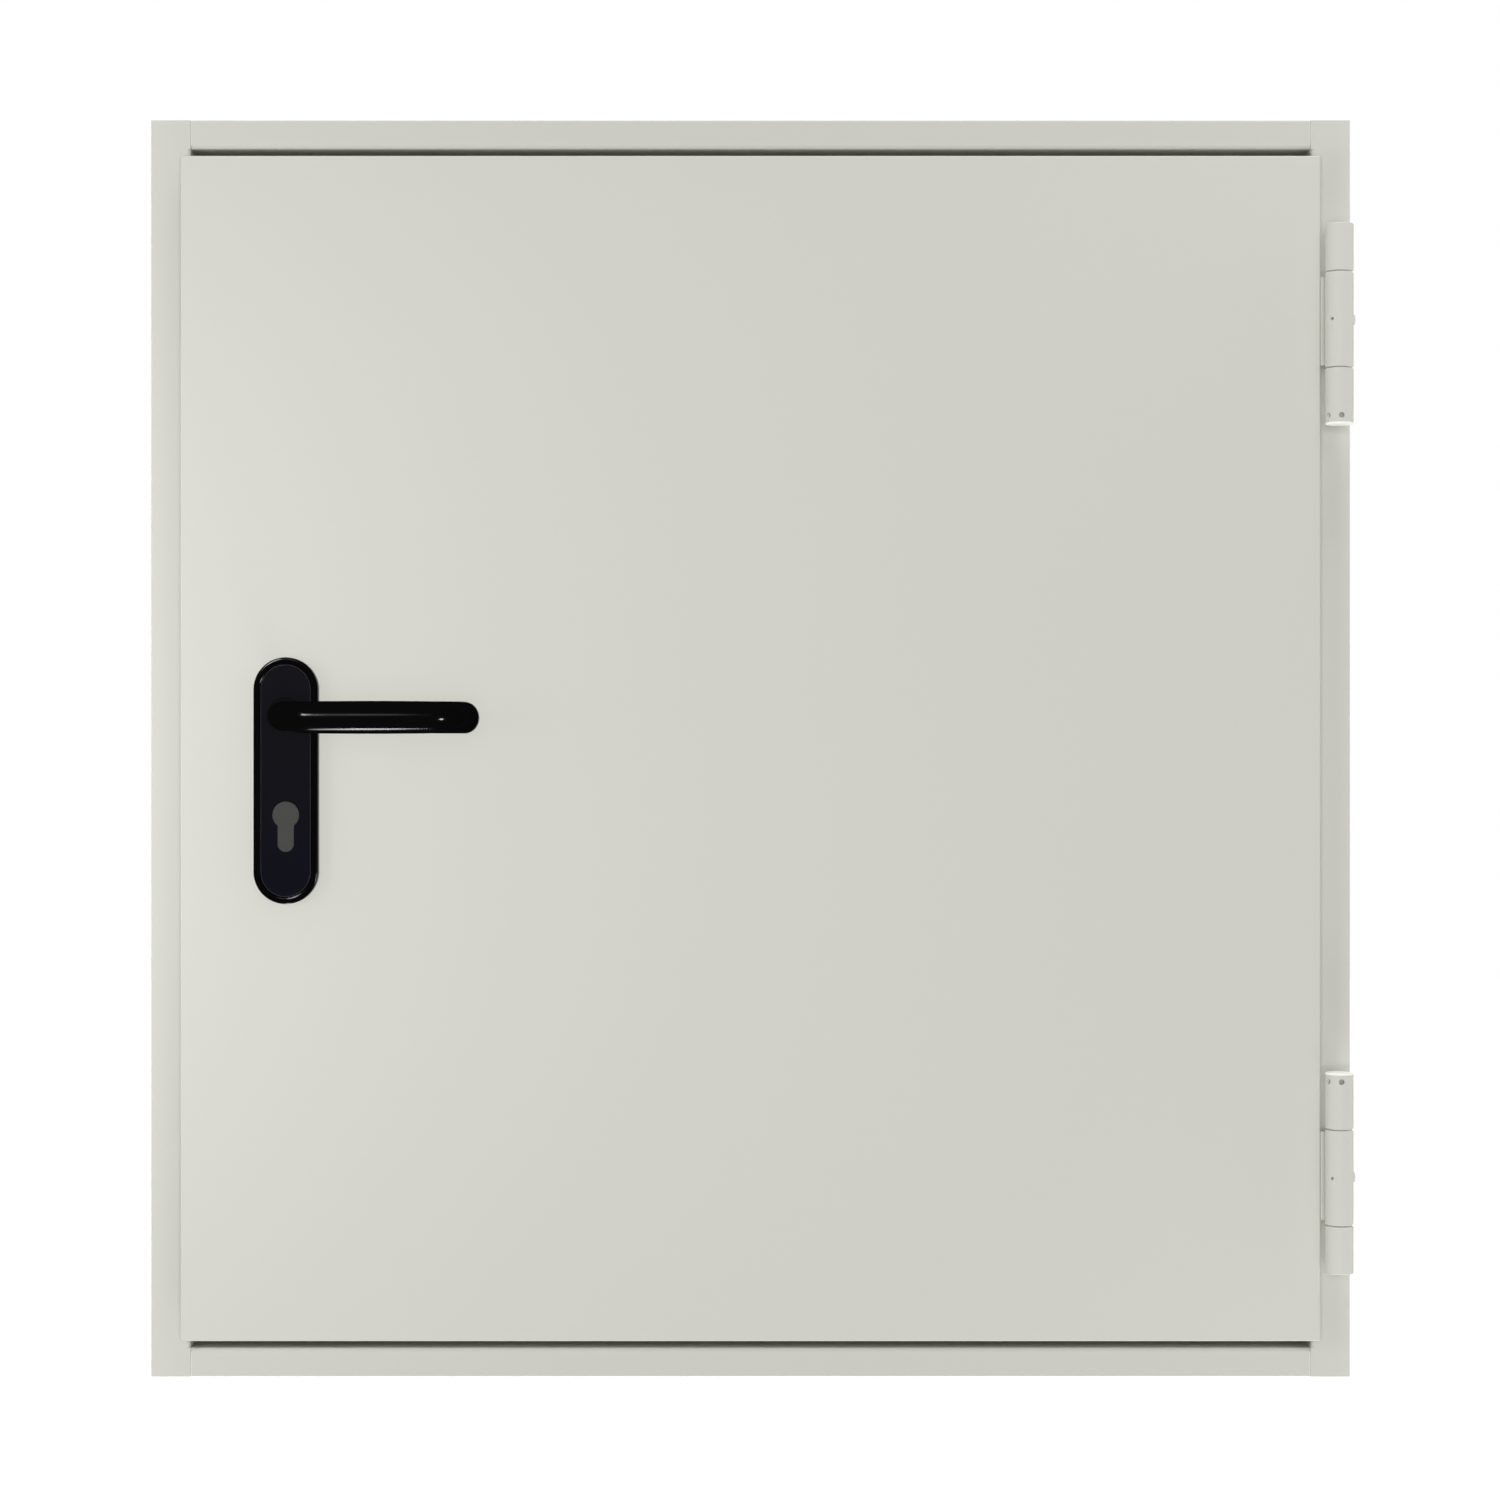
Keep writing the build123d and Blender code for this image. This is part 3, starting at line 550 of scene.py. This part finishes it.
# %% [markdown]
# ## The lever
# The lever is a thick nylon bar over a steel core: a round neck out of its collar, a soft elbow, a
# hand grip that is a little fuller in its middle, and an end that turns back so that no sleeve can
# catch on it. It could be a bent curve with a round bevel, but the bar's section changes all the
# way. So it is one surface carried along a path: at each step of the path there is an ellipse, and
# its two half-widths are given by a profile. The grip is a little deeper below its middle than above.

# %% The lever's sizes, from the CAD node's box
lever_low, lever_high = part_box("front_lever")
leaf_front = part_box("leaf_front_skin")[0].y
leaf_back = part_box("leaf_back_tray")[1].y
turn = next(joint for joint in frame["joints"] if joint["name"] == "lever_turn")
lever_x, _, lever_z = turn["pos_m"]
reach = lever_high.x - lever_x
bar_radius = 11 * MILLIMETRE
standoff = leaf_front - lever_low.y - bar_radius
print("reach", round(reach, 4), "standoff", round(standoff, 4))

ELBOW = 22 * MILLIMETRE
COLLAR_START = 8.8 * MILLIMETRE
COLLAR_HEIGHT = 5 * MILLIMETRE
COLLAR_RADIUS = 13.5 * MILLIMETRE
JOURNAL_RADIUS = 9 * MILLIMETRE
RETURN_GAP = 14 * MILLIMETRE
END_HALF_HEIGHT = 11.5 * MILLIMETRE
GRIP_HALF_HEIGHT = 11.8 * MILLIMETRE
GRIP_SAG = 1.2 * MILLIMETRE
END_HALF_WIDTH = 10.3 * MILLIMETRE
GRIP_HALF_WIDTH = 10.9 * MILLIMETRE
NECK_HALF_WIDTH = 10.2 * MILLIMETRE
COLLAR_ROUNDING = 1.2 * MILLIMETRE
COLLAR_STEP = 1.0 * MILLIMETRE
STEP_LENGTH = 0.8 * MILLIMETRE
DOME_SHARE = 0.75
SWELL_POWER = 0.8
ROUND_STEPS = 72
ARC_STEPS = 28
GRIP_STEPS = 60
NECK_STEPS = 6
EDGE_STEPS = 6
RETURN_STEPS = 2
DOME_STEPS = 14


# %% [markdown]
# The path lies in one flat plane through the lever's axis, so it takes only two numbers: how far
# along the leaf, and how far out from it. Straight runs and quarter circles follow each other.


# %% The lever's path
def quarter(centre, start_angle, steps):
    """Points on a quarter circle of the elbow's radius, turning clockwise from a start angle."""
    angle = np.radians(start_angle) - np.linspace(0, np.pi / 2, steps)
    return np.stack([centre[0] + ELBOW * np.cos(angle), centre[1] + ELBOW * np.sin(angle)], axis=1)


def straight(start, end, steps):
    """Points evenly spaced on a straight run, without its two ends."""
    share = np.linspace(0, 1, steps + 2)[1:-1, None]
    return (1 - share) * np.array(start) + share * np.array(end)


def collar_profile():
    """Distance out from the leaf and radius, up the journal and round the collar's edges."""
    edge = np.linspace(0, np.pi / 2, EDGE_STEPS)
    collar_end = COLLAR_START + COLLAR_HEIGHT
    low_edge = np.stack(
        [
            COLLAR_START + COLLAR_ROUNDING * (1 - np.sin(edge)),
            COLLAR_RADIUS - COLLAR_ROUNDING * (1 - np.cos(edge)),
        ],
        axis=1,
    )[::-1]
    high_edge = np.stack(
        [
            collar_end - COLLAR_ROUNDING * (1 - np.sin(edge)),
            COLLAR_RADIUS - COLLAR_ROUNDING * (1 - np.cos(edge)),
        ],
        axis=1,
    )
    start = [(0.0, 0.0), (0.0, JOURNAL_RADIUS), (COLLAR_START, JOURNAL_RADIUS)]
    end = [(collar_end, NECK_HALF_WIDTH + COLLAR_STEP), (collar_end + STEP_LENGTH, NECK_HALF_WIDTH)]
    return np.concatenate([start, low_edge, high_edge, end])


# %% [markdown]
# Now the whole bar. Both half-widths swell towards the middle of the grip by a power of a sine, and
# the last stretch is closed by a dome, where they shrink as a circle does.


# %% The lever as one surface
def lever_moulding(name, leaf_face, way):
    """Ellipses along the path: centre + cos(a) * half_width * side + (sin(a) * half_height - sag) * up."""
    hub = collar_profile()
    grip_start = (ELBOW, standoff)
    return_x = reach - bar_radius
    grip_end = (return_x - ELBOW, standoff)
    dome = END_HALF_WIDTH * DOME_SHARE
    return_end = RETURN_GAP + dome
    centre = np.concatenate(
        [
            np.stack([np.zeros(len(hub)), hub[:, 0]], axis=1),
            straight((0, hub[-1, 0]), (0, standoff - ELBOW), NECK_STEPS),
            quarter((ELBOW, standoff - ELBOW), 180, ARC_STEPS),
            straight(grip_start, grip_end, GRIP_STEPS),
            quarter((grip_end[0], standoff - ELBOW), 90, ARC_STEPS),
            straight((return_x, standoff - ELBOW), (return_x, return_end), RETURN_STEPS),
        ]
    )
    along = np.gradient(centre[len(hub) :], axis=0)
    along /= np.linalg.norm(along, axis=1, keepdims=True)
    along = np.concatenate([np.tile([0.0, 1.0], (len(hub), 1)), along])
    share = np.clip((centre[:, 0] - ELBOW) / (grip_end[0] - ELBOW), 0, 1)
    swell = np.sin(np.pi * share) ** SWELL_POWER
    around_elbow = np.clip(centre[:, 0] / ELBOW, 0, 1)
    half_height = NECK_HALF_WIDTH + (END_HALF_HEIGHT - NECK_HALF_WIDTH) * around_elbow
    half_height = half_height + (GRIP_HALF_HEIGHT - END_HALF_HEIGHT) * swell
    half_width = NECK_HALF_WIDTH + (END_HALF_WIDTH - NECK_HALF_WIDTH) * around_elbow
    half_width = half_width + (GRIP_HALF_WIDTH - END_HALF_WIDTH) * swell
    sag = GRIP_SAG * around_elbow
    half_height[: len(hub)] = hub[:, 1]
    half_width[: len(hub)] = hub[:, 1]

    rise = np.linspace(0, np.pi / 2, DOME_STEPS)[1:]
    dome_centre = np.stack([np.full(len(rise), return_x), return_end - dome * np.sin(rise)], axis=1)
    centre = np.concatenate([centre, dome_centre])
    along = np.concatenate([along, np.tile([0.0, -1.0], (len(rise), 1))])
    half_height = np.concatenate([half_height, half_height[-1] * np.cos(rise)])
    half_width = np.concatenate([half_width, half_width[-1] * np.cos(rise)])
    sag = np.concatenate([sag, np.full(len(rise), sag[-1])])

    round_angle = np.linspace(0, 2 * np.pi, ROUND_STEPS, endpoint=False)
    side = np.stack([along[:, 1], -along[:, 0]], axis=1)
    flat = centre[:, None, :] + side[:, None, :] * (half_width[:, None] * np.cos(round_angle))[..., None]
    height = half_height[:, None] * np.sin(round_angle) - sag[:, None]
    points = np.stack(
        [lever_x + flat[..., 0], leaf_face + way * flat[..., 1], lever_z + height],
        axis=-1,
    )
    faces = ring_faces(len(centre), ROUND_STEPS)
    return build_mesh(name, [(points, faces)])


# %% [markdown]
# The hub between the plate and the bar is left matt, because the photograph shows no shine there. The
# levers go into a collection of polished pieces, for the lamps that draw their gleams. They cast no
# lamp shadow: in the photograph the leaf stays pale right up to their outline.

# %% Both levers
HUB_MARGIN = 0.1 * MILLIMETRE
HUB_SHARE = 1.05
polished = bpy.data.collections.new("polished")
hub_finish = plain_plastic("hub_black", GLOSS_BLACK, GLOSS_OTHER, 0.75, 0.0006, 0.00002, shine=0.03)


def dress_lever(lever, leaf_face):
    """Polished nylon, with the matt finish on the faces between the leaf and the collar's end."""
    dress(lever, finishes["black_plastic"])
    lever.data.materials.append(hub_finish)
    middles = np.empty(len(lever.data.polygons) * 3)
    lever.data.polygons.foreach_get("center", middles)
    on_hub = np.abs(middles[1::3] - leaf_face) < COLLAR_START + COLLAR_HEIGHT + HUB_MARGIN
    on_hub &= np.hypot(middles[0::3] - lever_x, middles[2::3] - lever_z) < HUB_SHARE * COLLAR_RADIUS
    lever.data.polygons.foreach_set("material_index", on_hub.astype(np.int32))


for side_name, leaf_face, way in (("front", leaf_front, -1), ("rear", leaf_back, 1)):
    lever = lever_moulding(f"{side_name}_lever_moulding", leaf_face, way)
    dress_lever(lever, leaf_face)
    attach(lever, "lever")
    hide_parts(f"{side_name}_lever")
    lever.visible_shadow = False
    polished.objects.link(lever)

# %% [markdown]
# ## The long plate
# The plate is a shallow moulding with round ends: a polished rim that rolls up from the leaf, a
# fine groove, and a grained field. A stadium is easy to write down: half circles joined by straight
# sides, and moving it inwards only makes its radius smaller. So the rim is a grid whose rows are
# stadiums, each with its own inset and height.

# %% The plate's rim
plate_low, plate_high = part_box("front_plate")
plate_radius = (plate_high.x - plate_low.x) / 2
plate_half_length = (plate_high.z - plate_low.z) / 2
plate_middle = (plate_high.z + plate_low.z) / 2
plate_thickness = leaf_front - plate_low.y
straight_half = plate_half_length - plate_radius
END_STEPS = 48
SIDE_STEPS = 24
RIM_WIDTH = 5.6 * MILLIMETRE
# The rim's section: inset as a share of the rim's width, height as a share of the thickness
RIM = (
    (0.00, 0.00),
    (0.00, 0.885),
    (0.015, 0.925),
    (0.05, 0.957),
    (0.10, 0.980),
    (0.18, 0.995),
    (0.30, 1.00),
    (0.45, 1.00),
    (0.60, 0.995),
    (0.74, 0.985),
    (0.84, 0.965),
    (0.90, 0.935),
    (0.935, 0.925),
    (0.965, 0.93),
    (1.00, 0.944),
)
side_rise = np.linspace(-straight_half, straight_half, SIDE_STEPS + 1)[1:-1]


def stadium(radius):
    """Points round two half circles and two straight sides, from the right side upwards."""
    angle = np.linspace(0, np.pi, END_STEPS + 1)
    top = np.stack([radius * np.cos(angle), straight_half + radius * np.sin(angle)], axis=1)
    left = np.stack([np.full(len(side_rise), -radius), side_rise[::-1]], axis=1)
    return np.concatenate([top, left, -top, -left])


print("rim rows", len(RIM), "points a row", len(stadium(plate_radius)))

# %% [markdown]
# The field has two holes, one for the lever's journal and one with the pear shape of a profile
# cylinder. A line across the plate cuts the field in two patches with one hole each. From a hole's
# centre every point of a patch's outline can be seen, so the patch is a grid of rays: each ray
# starts on the hole's edge and ends on the outline. The same rays, run out to the plate's foot,
# close the back, and a wall joins the two edges of each hole.

# %% The plate's field and holes
blank_low, blank_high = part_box("cylinder_blank")
hole_clearance = 0.2 * MILLIMETRE
hole_radius = (blank_high.x - blank_low.x) / 2 + hole_clearance
hole_z = blank_high.z - (blank_high.x - blank_low.x) / 2
tail_radius = 5.9 * MILLIMETRE + hole_clearance
tail_drop = hole_z - blank_low.z - (tail_radius - hole_clearance)
lever_hole = np.array([0.0, lever_z - plate_middle])
pear_hole = np.array([0.0, hole_z - plate_middle])
JOURNAL_PLAY = 0.05 * MILLIMETRE
RAY_STEPS = 8
TINY = 1e-9


def pear_reach(direction):
    """How far each ray from the upper circle's centre runs to the pear's edge."""
    down = np.maximum(-direction[:, 1], TINY)
    to_side = tail_radius / np.maximum(np.abs(direction[:, 0]), TINY)
    toward = down * tail_drop
    to_end = toward + np.sqrt(np.maximum(toward**2 - tail_drop**2 + tail_radius**2, 0))
    tail = np.where(to_side * down <= tail_drop, to_side, to_end)
    return np.where(direction[:, 1] < 0, np.maximum(hole_radius, tail), hole_radius)


def round_reach(direction):
    """The journal's hole is round, so every ray runs the same way."""
    return np.full(len(direction), JOURNAL_RADIUS + JOURNAL_PLAY)


def half_outline(ring, cut, side):
    """The points of a ring on one side of a cut (1 above, -1 below), closed along the cut."""
    kept = ring[side * (ring[:, 1] - cut) > -TINY]
    right = kept[:, 0].max()
    across = np.linspace(-right, right, 2 * RAY_STEPS)[1:-1]
    outline = np.concatenate([kept, np.stack([across, np.full(len(across), cut)], axis=1)])
    middle = np.array([0.0, cut + side * straight_half / 2])
    turn = np.arctan2(outline[:, 1] - middle[1], outline[:, 0])
    return outline[np.argsort(turn)]


def rays(inner, outline):
    """Grid of straight rays between two rows of points."""
    share = np.linspace(0, 1, RAY_STEPS)[:, None, None]
    return (1 - share) * inner + share * outline


# %% [markdown]
# A plate is the rim's rows, two patches of the field with the walls of their holes, and a flat back
# against the leaf. The number that tells the field from the rim comes from a point's distance to the
# plate's spine, the line that joins the middles of its two round ends.


# %% Both plates
def plate_moulding(name, leaf_face, way):
    """Rim rows, two grained patches, the walls of their holes, and the flat back on the leaf."""

    def lift(flat, height):
        """Flat points (across, up) to places in space at a height over the leaf."""
        out = np.full(flat.shape[:-1], leaf_face + way * height)
        return np.stack([lever_x + flat[..., 0], out, plate_middle + flat[..., 1]], axis=-1)

    def patch(points):
        """A patch of rings with its faces."""
        return points, ring_faces(points.shape[0], points.shape[1])

    field_height = RIM[-1][1] * plate_thickness
    field_ring = stadium(plate_radius - RIM_WIDTH)
    foot_ring = stadium(plate_radius)
    rows = [lift(stadium(plate_radius - inset * RIM_WIDTH), rise * plate_thickness) for inset, rise in RIM]
    patches = [patch(np.stack(rows))]
    wanted_cut = (lever_hole[1] - JOURNAL_RADIUS + pear_hole[1] + hole_radius) / 2
    cut = side_rise[np.argmin(np.abs(side_rise - wanted_cut))]
    for side, centre, reach_of in ((1, lever_hole, round_reach), (-1, pear_hole, pear_reach)):
        outline = half_outline(field_ring, cut, side)
        ray = outline - centre
        direction = ray / np.linalg.norm(ray, axis=1, keepdims=True)
        edge = centre + direction * reach_of(direction)[:, None]
        patches.append(patch(lift(rays(edge, outline), field_height)))
        patches.append(patch(lift(rays(edge, half_outline(foot_ring, cut, side)), 0.0)))
        patches.append(patch(np.stack([lift(edge, field_height), lift(edge, 0.0)])))
    return build_mesh(name, patches, smooth_angle=50)


def mark_field(plate, leaf_face, way):
    """Stores 1 on the points of the grained field, found by their distance from the plate's spine."""
    count = len(plate.data.vertices)
    place = np.empty(count * 3)
    plate.data.vertices.foreach_get("co", place)
    across, out, up = place.reshape(-1, 3).T
    up = up - plate_middle
    from_spine = np.hypot(across - lever_x, up - np.clip(up, -straight_half, straight_half))
    high = way * (out - leaf_face) > 0.9 * plate_thickness
    inside = high & (from_spine < plate_radius - 0.99 * RIM_WIDTH)
    marks = plate.data.attributes.new(FIELD_ATTRIBUTE, "FLOAT", "POINT")
    marks.data.foreach_set("value", inside.astype(np.float32))


for side_name, leaf_face, way in (("front", leaf_front, -1), ("rear", leaf_back, 1)):
    plate = plate_moulding(f"{side_name}_plate_moulding", leaf_face, way)
    mark_field(plate, leaf_face, way)
    dress(plate, plate_finish)
    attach(plate, "leaf")
    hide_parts(f"{side_name}_plate")
    plate.visible_shadow = False
    polished.objects.link(plate)

# %% [markdown]
# Polished black plastic is drawn by what it mirrors. Four more lamps are there for it alone, and light
# nothing else: a strip below and a soft strip above draw two thin lines along the round bar, and two
# lamps aside draw a bright spot on each of its bends, and a short gleam on the plate's round ends.
# Each is placed by its direction from the lever, as the angle that its gleam on the bar asks for.

# %% Lamps for the gleams
GLEAM_LAMPS = {
    # name: (place, width, height, watts)
    "low_strip": ((-0.376, -0.070, -0.35), 0.25, 0.10, 18.0),
    "high_strip": ((-0.496, -1.977, 1.047), 0.19, 0.36, 2.6),
    "left_gleam": ((-0.88, -1.977, 1.047), 0.34, 0.3, 52.0),
    "right_gleam": ((0.66, -2.0, 0.014), 0.36, 0.3, 72.0),
}
for gleam_name, (place, width, height, watts) in GLEAM_LAMPS.items():
    aim = (max(place[0], lever_x), leaf_front - standoff, lever_z)
    gleam = lamp(gleam_name, place, aim, width, height, watts)
    gleam.visible_glossy = True
    gleam.visible_diffuse = False
    gleam.light_linking.receiver_collection = polished

# %% [markdown]
# ## Screws
# The front plate shows no screw, because such plates are bolted through from the inner side. There
# the two bolts have low domed heads with a six-sided socket, and two countersunk screws hold the
# lock's forend in the leaf's edge. A head is a turned profile, and in the rows of the socket the
# radius follows a hexagon instead of a circle: the flat's distance over the cosine of the angle to it.

# %% Screw heads
SCREW_STEPS = 48
ZINC = "zinc_steel"


def screw_head(place, outward, radius, rise, socket):
    """Rows of a domed head and of its hexagonal socket, around an axis that points outward."""
    rows = (
        # radius as a share, height as a share, and how far the row is a hexagon
        (1.00, 0.00, 0),
        (1.00, 0.25, 0),
        (0.97, 0.45, 0),
        (0.88, 0.72, 0),
        (0.74, 0.90, 0),
        (0.62, 0.98, 0),
        (1.06, 1.00, 1),
        (1.00, 0.92, 1),
        (0.98, -0.20, 1),
        (0.00, -0.35, 1),
    )
    angle = np.linspace(0, 2 * np.pi, SCREW_STEPS, endpoint=False)
    to_flat = np.mod(angle, np.pi / 3) - np.pi / 6
    hexagon = socket / np.cos(to_flat)
    share, height, six_sided = (np.array(column, float)[:, None] for column in zip(*rows))
    distance = share * np.where(six_sided > 0, hexagon, radius)
    axis = Vector(outward)
    first = axis.orthogonal().normalized()
    second = axis.cross(first)
    first, second, axis = (np.array(vector) for vector in (first, second, axis))
    points = (
        np.array(place)
        + (distance * np.cos(angle))[..., None] * first
        + (distance * np.sin(angle))[..., None] * second
        + (height * rise * np.ones_like(angle))[..., None] * axis
    )
    return points, ring_faces(len(rows), SCREW_STEPS)


def screws(name, places, outward, radius, rise, socket, body):
    """Several like screw heads as one piece that rides on a body."""
    heads = [screw_head(place, outward, radius, rise, socket) for place in places]
    made = build_mesh(name, heads, smooth_angle=35)
    dress(made, finishes[ZINC])
    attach(made, body)
    return made


PLATE_SCREW_INSET = 14 * MILLIMETRE
field_face = leaf_back + RIM[-1][1] * plate_thickness
plate_screw_places = [
    (lever_x, field_face, plate_high.z - PLATE_SCREW_INSET),
    (lever_x, field_face, plate_low.z + PLATE_SCREW_INSET),
]
screws(
    "rear_plate_screws",
    plate_screw_places,
    (0, 1, 0),
    radius=4.2 * MILLIMETRE,
    rise=1.7 * MILLIMETRE,
    socket=1.6 * MILLIMETRE,
    body="leaf",
)

FOREND_SCREW_INSET = 9 * MILLIMETRE
forend_low, forend_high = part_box("lock_forend")
forend_middle = (forend_low.y + forend_high.y) / 2
forend_screw_places = [
    (forend_low.x, forend_middle, forend_high.z - FOREND_SCREW_INSET),
    (forend_low.x, forend_middle, forend_low.z + FOREND_SCREW_INSET),
]
screws(
    "forend_screws",
    forend_screw_places,
    (-1, 0, 0),
    radius=4.0 * MILLIMETRE,
    rise=0.5 * MILLIMETRE,
    socket=1.4 * MILLIMETRE,
    body="leaf",
)

# %% [markdown]
# ## Hinge welds
# The hinge barrels stand on narrow tabs, welded to the jamb before the frame was painted. A weld bead
# is a small round seam with ripples where the weld pool froze step by step. It is a tube along a
# straight line whose radius rises and falls with a sine of the length. The barrels on the frame cast
# no lamp shadow, because the photograph shows the jamb pale beside them.

# %% Weld beads
BEAD_RADIUS = 1.5 * MILLIMETRE
RIPPLE = 1.4 * MILLIMETRE
BEAD_STEPS = 12
RIPPLE_SHARE = 0.10
RIPPLE_STEPS = 6


def weld_bead(foot, top):
    """Rings along a line, radius = bead * (1 + a tenth of a sine), shrinking to a point at both ends."""
    length = top[2] - foot[2]
    steps = int(length / RIPPLE * RIPPLE_STEPS)
    run = np.linspace(0, length, steps)
    ripple = 1 + RIPPLE_SHARE * np.sin(2 * np.pi * run / RIPPLE)
    near_end = np.clip(np.minimum(run, length - run) / BEAD_RADIUS, 0, 1)
    radius = BEAD_RADIUS * ripple * np.sqrt(1 - (1 - near_end) ** 2)
    angle = np.linspace(0, 2 * np.pi, BEAD_STEPS, endpoint=False)
    points = np.stack(
        [
            foot[0] + radius[:, None] * np.cos(angle),
            foot[1] + radius[:, None] * np.sin(angle),
            foot[2] + run[:, None] * np.ones_like(angle),
        ],
        axis=-1,
    )
    return points, ring_faces(steps, BEAD_STEPS)


TAB_HALF = 2 * MILLIMETRE
WELD_INSET = 2 * MILLIMETRE
hinge_axis = next(joint for joint in frame["joints"] if joint["name"] == "leaf_swing")["pos_m"]
for hinge in ("upper_hinge", "lower_hinge"):
    for barrel in ("end_barrel", "tension_barrel", "tension_ring"):
        frame["nodes"][f"{hinge}_{barrel}"].visible_shadow = False
    beads = []
    for barrel in ("end_barrel", "tension_barrel"):
        low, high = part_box(f"{hinge}_{barrel}")
        for way in (-1, 1):
            seam = (hinge_axis[0] + way * TAB_HALF, face_y)
            beads.append(weld_bead((*seam, low.z + WELD_INSET), (*seam, high.z - WELD_INSET)))
    welds = build_mesh(f"{hinge}_welds", beads)
    dress(welds, finishes["powder_coat"])
    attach(welds, "frame")

# %% [markdown]
# ## The floor
# The hatch is fixed to a wall, so it hangs above the floor, which is pale and matt. The floor glows
# a little, so that it runs into the white ground, but it is a real surface that takes the hatch's
# shadow. Only the camera's rays find it: the paint is lit from below as it is from above, and the
# plastic mirrors the dark studio there.

# %% Floor
FLOOR_DROP = 0.50
FLOOR_HALF = 12.0
FLOOR_RINGS = 24
FLOOR_SPOKES = 96
FLOOR_COLOUR = (0.80, 0.80, 0.79, 1)
FLOOR_OTHER = (0.83, 0.83, 0.82, 1)
FLOOR_GLOW = 0.45


def floor_finish():
    """Matt and pale, with a faint glow that runs it into the white ground."""
    made, tree, shader = material(
        "floor", Roughness=0.9, Specular_IOR_Level=0.0, Emission_Strength=FLOOR_GLOW
    )
    shader["Emission Color"].default_value = (1, 1, 1, 1)
    link(tree, blend_colour(tree, noise(tree, 0.4), FLOOR_COLOUR, FLOOR_OTHER), shader["Base Color"])
    return made


floor_z = cad_box[0].z - FLOOR_DROP
angle = np.linspace(0, 2 * np.pi, FLOOR_SPOKES, endpoint=False)
spoke = np.linspace(0, FLOOR_HALF, FLOOR_RINGS)
floor_points = np.stack(
    [
        spoke[:, None] * np.cos(angle),
        spoke[:, None] * np.sin(angle),
        np.full((FLOOR_RINGS, FLOOR_SPOKES), floor_z),
    ],
    axis=-1,
)
floor = build_mesh("floor", [(floor_points, ring_faces(FLOOR_RINGS, FLOOR_SPOKES))])
dress(floor, floor_finish())
for kind_of_ray in ("diffuse", "glossy", "transmission", "shadow"):
    setattr(floor, f"visible_{kind_of_ray}", False)

# %% [markdown]
# ## The end
# The script closes with a last printed line. The dressed hatch has to stay inside the CAD model's
# box.

# %% The end
print("scene built")
